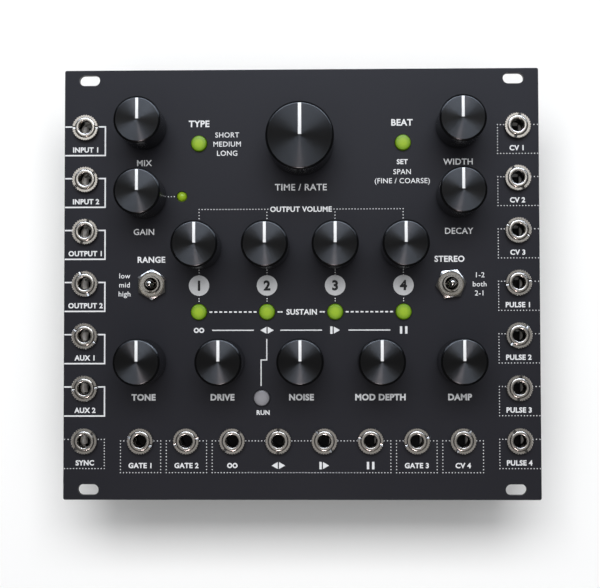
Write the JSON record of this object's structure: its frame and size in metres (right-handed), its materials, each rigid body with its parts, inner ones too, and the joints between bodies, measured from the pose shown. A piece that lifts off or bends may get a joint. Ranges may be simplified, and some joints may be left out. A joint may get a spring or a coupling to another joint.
{
  "type": "echo module",
  "caption": "Rack-panel echo effect module: flat panel with turning knobs, toggle levers, lit push buttons and rows of plug sockets, circuit boards behind.",
  "frame": {"origin": "centre of the four rail slots, on the panel's rear face, which seats on the rails", "axes": "+X to the panel's right, +Y to its top edge, +Z out of its front; it lies face up on its back"},
  "size_m": [0.142, 0.1284, 0.0514],
  "materials": {
    "panel_black": "black anodised, satin",
    "knob_black": "black anodised, turned top",
    "nickel": "nickel plated",
    "chrome": "polished chrome",
    "brass": "machined brass",
    "steel": "zinc plated",
    "case_black": "moulded, matte",
    "switch_blue": "moulded, matte",
    "button_green": "translucent, lit green",
    "button_grey": "translucent, unlit",
    "lamp_green": "clear tinted, lit green",
    "board": "solder mask over glass laminate",
    "chip_black": "moulded epoxy",
    "can": "drawn can"
  },
  "bodies": {
    "module": {"front_panel": "panel_black", "jack_housings": "case_black", "jack_springs": "nickel", "jack_sleeves": "nickel", "jack_nuts": "nickel", "pot_housings": "switch_blue", "pot_bushings": "steel", "pot_nuts": "nickel", "toggle_housings": "switch_blue", "toggle_bushings": "chrome", "toggle_nuts": "chrome", "button_switches": "case_black", "lamp": "lamp_green", "control_board": "board", "processor_board": "board", "board_standoffs": "brass", "board_screws": "steel", "board_connectors": "case_black", "power_header": "case_black", "power_pins": "brass", "signal_processor": "chip_black", "small_chips": "chip_black", "capacitors": "can"},
    "mix_control": {"knob_mix": "knob_black", "shaft_mix": "steel"},
    "gain_control": {"knob_gain": "knob_black", "shaft_gain": "steel"},
    "width_control": {"knob_width": "knob_black", "shaft_width": "steel"},
    "decay_control": {"knob_decay": "knob_black", "shaft_decay": "steel"},
    "echo_1_control": {"knob_echo_1": "knob_black", "shaft_echo_1": "steel"},
    "echo_2_control": {"knob_echo_2": "knob_black", "shaft_echo_2": "steel"},
    "echo_3_control": {"knob_echo_3": "knob_black", "shaft_echo_3": "steel"},
    "echo_4_control": {"knob_echo_4": "knob_black", "shaft_echo_4": "steel"},
    "tone_control": {"knob_tone": "knob_black", "shaft_tone": "steel"},
    "drive_control": {"knob_drive": "knob_black", "shaft_drive": "steel"},
    "noise_control": {"knob_noise": "knob_black", "shaft_noise": "steel"},
    "depth_control": {"knob_depth": "knob_black", "shaft_depth": "steel"},
    "damp_control": {"knob_damp": "knob_black", "shaft_damp": "steel"},
    "time_control": {"knob_time": "knob_black", "shaft_time": "steel"},
    "left_toggle": {"lever_left": "chrome"},
    "right_toggle": {"lever_right": "chrome"},
    "mode_button": {"button_mode": "button_green"},
    "beat_button": {"button_beat": "button_green"},
    "echo_1_button": {"button_echo_1": "button_green"},
    "echo_2_button": {"button_echo_2": "button_green"},
    "echo_3_button": {"button_echo_3": "button_green"},
    "echo_4_button": {"button_echo_4": "button_green"},
    "run_button": {"button_run": "button_grey"}
  },
  "joints": [
    {"name": "mix_turn", "type": "hinge", "parent": "module", "child": "mix_control", "pos_m": [-0.047, 0.0468, 0.002], "axis": [0, 0, 1], "range_deg": [-150, 150]},
    {"name": "gain_turn", "type": "hinge", "parent": "module", "child": "gain_control", "pos_m": [-0.047, 0.0261, 0.002], "axis": [0, 0, 1], "range_deg": [-150, 150]},
    {"name": "width_turn", "type": "hinge", "parent": "module", "child": "width_control", "pos_m": [0.047, 0.0468, 0.002], "axis": [0, 0, 1], "range_deg": [-150, 150]},
    {"name": "decay_turn", "type": "hinge", "parent": "module", "child": "decay_control", "pos_m": [0.047, 0.0261, 0.002], "axis": [0, 0, 1], "range_deg": [-150, 150]},
    {"name": "echo_1_turn", "type": "hinge", "parent": "module", "child": "echo_1_control", "pos_m": [-0.03048, 0.0108, 0.002], "axis": [0, 0, 1], "range_deg": [-150, 150]},
    {"name": "echo_2_turn", "type": "hinge", "parent": "module", "child": "echo_2_control", "pos_m": [-0.01016, 0.0108, 0.002], "axis": [0, 0, 1], "range_deg": [-150, 150]},
    {"name": "echo_3_turn", "type": "hinge", "parent": "module", "child": "echo_3_control", "pos_m": [0.01016, 0.0108, 0.002], "axis": [0, 0, 1], "range_deg": [-150, 150]},
    {"name": "echo_4_turn", "type": "hinge", "parent": "module", "child": "echo_4_control", "pos_m": [0.03048, 0.0108, 0.002], "axis": [0, 0, 1], "range_deg": [-150, 150]},
    {"name": "tone_turn", "type": "hinge", "parent": "module", "child": "tone_control", "pos_m": [-0.047, -0.0233, 0.002], "axis": [0, 0, 1], "range_deg": [-150, 150]},
    {"name": "drive_turn", "type": "hinge", "parent": "module", "child": "drive_control", "pos_m": [-0.0235, -0.0233, 0.002], "axis": [0, 0, 1], "range_deg": [-150, 150]},
    {"name": "noise_turn", "type": "hinge", "parent": "module", "child": "noise_control", "pos_m": [0, -0.0233, 0.002], "axis": [0, 0, 1], "range_deg": [-150, 150]},
    {"name": "depth_turn", "type": "hinge", "parent": "module", "child": "depth_control", "pos_m": [0.0235, -0.0233, 0.002], "axis": [0, 0, 1], "range_deg": [-150, 150]},
    {"name": "damp_turn", "type": "hinge", "parent": "module", "child": "damp_control", "pos_m": [0.047, -0.0233, 0.002], "axis": [0, 0, 1], "range_deg": [-150, 150]},
    {"name": "time_turn", "type": "hinge", "parent": "module", "child": "time_control", "pos_m": [0, 0.042, 0.002], "axis": [0, 0, 1], "range_deg": [-150, 150]},
    {"name": "left_toggle_tilt", "type": "hinge", "parent": "module", "child": "left_toggle", "pos_m": [-0.0445, -0.0003, 0.002], "axis": [1, 0, 0], "range_deg": [-12, 12]},
    {"name": "right_toggle_tilt", "type": "hinge", "parent": "module", "child": "right_toggle", "pos_m": [0.0445, -0.0003, 0.002], "axis": [1, 0, 0], "range_deg": [-12, 12]},
    {"name": "mode_press", "type": "slide", "parent": "module", "child": "mode_button", "axis": [0, 0, -1], "range_m": [0, 0.0005], "stiffness_N_per_m": 2000, "springref_m": -0.0002},
    {"name": "beat_press", "type": "slide", "parent": "module", "child": "beat_button", "axis": [0, 0, -1], "range_m": [0, 0.0005], "stiffness_N_per_m": 2000, "springref_m": -0.0002},
    {"name": "echo_1_press", "type": "slide", "parent": "module", "child": "echo_1_button", "axis": [0, 0, -1], "range_m": [0, 0.0005], "stiffness_N_per_m": 2000, "springref_m": -0.0002},
    {"name": "echo_2_press", "type": "slide", "parent": "module", "child": "echo_2_button", "axis": [0, 0, -1], "range_m": [0, 0.0005], "stiffness_N_per_m": 2000, "springref_m": -0.0002},
    {"name": "echo_3_press", "type": "slide", "parent": "module", "child": "echo_3_button", "axis": [0, 0, -1], "range_m": [0, 0.0005], "stiffness_N_per_m": 2000, "springref_m": -0.0002},
    {"name": "echo_4_press", "type": "slide", "parent": "module", "child": "echo_4_button", "axis": [0, 0, -1], "range_m": [0, 0.0005], "stiffness_N_per_m": 2000, "springref_m": -0.0002},
    {"name": "run_press", "type": "slide", "parent": "module", "child": "run_button", "axis": [0, 0, -1], "range_m": [0, 0.0005], "stiffness_N_per_m": 2000, "springref_m": -0.0002}
  ]
}
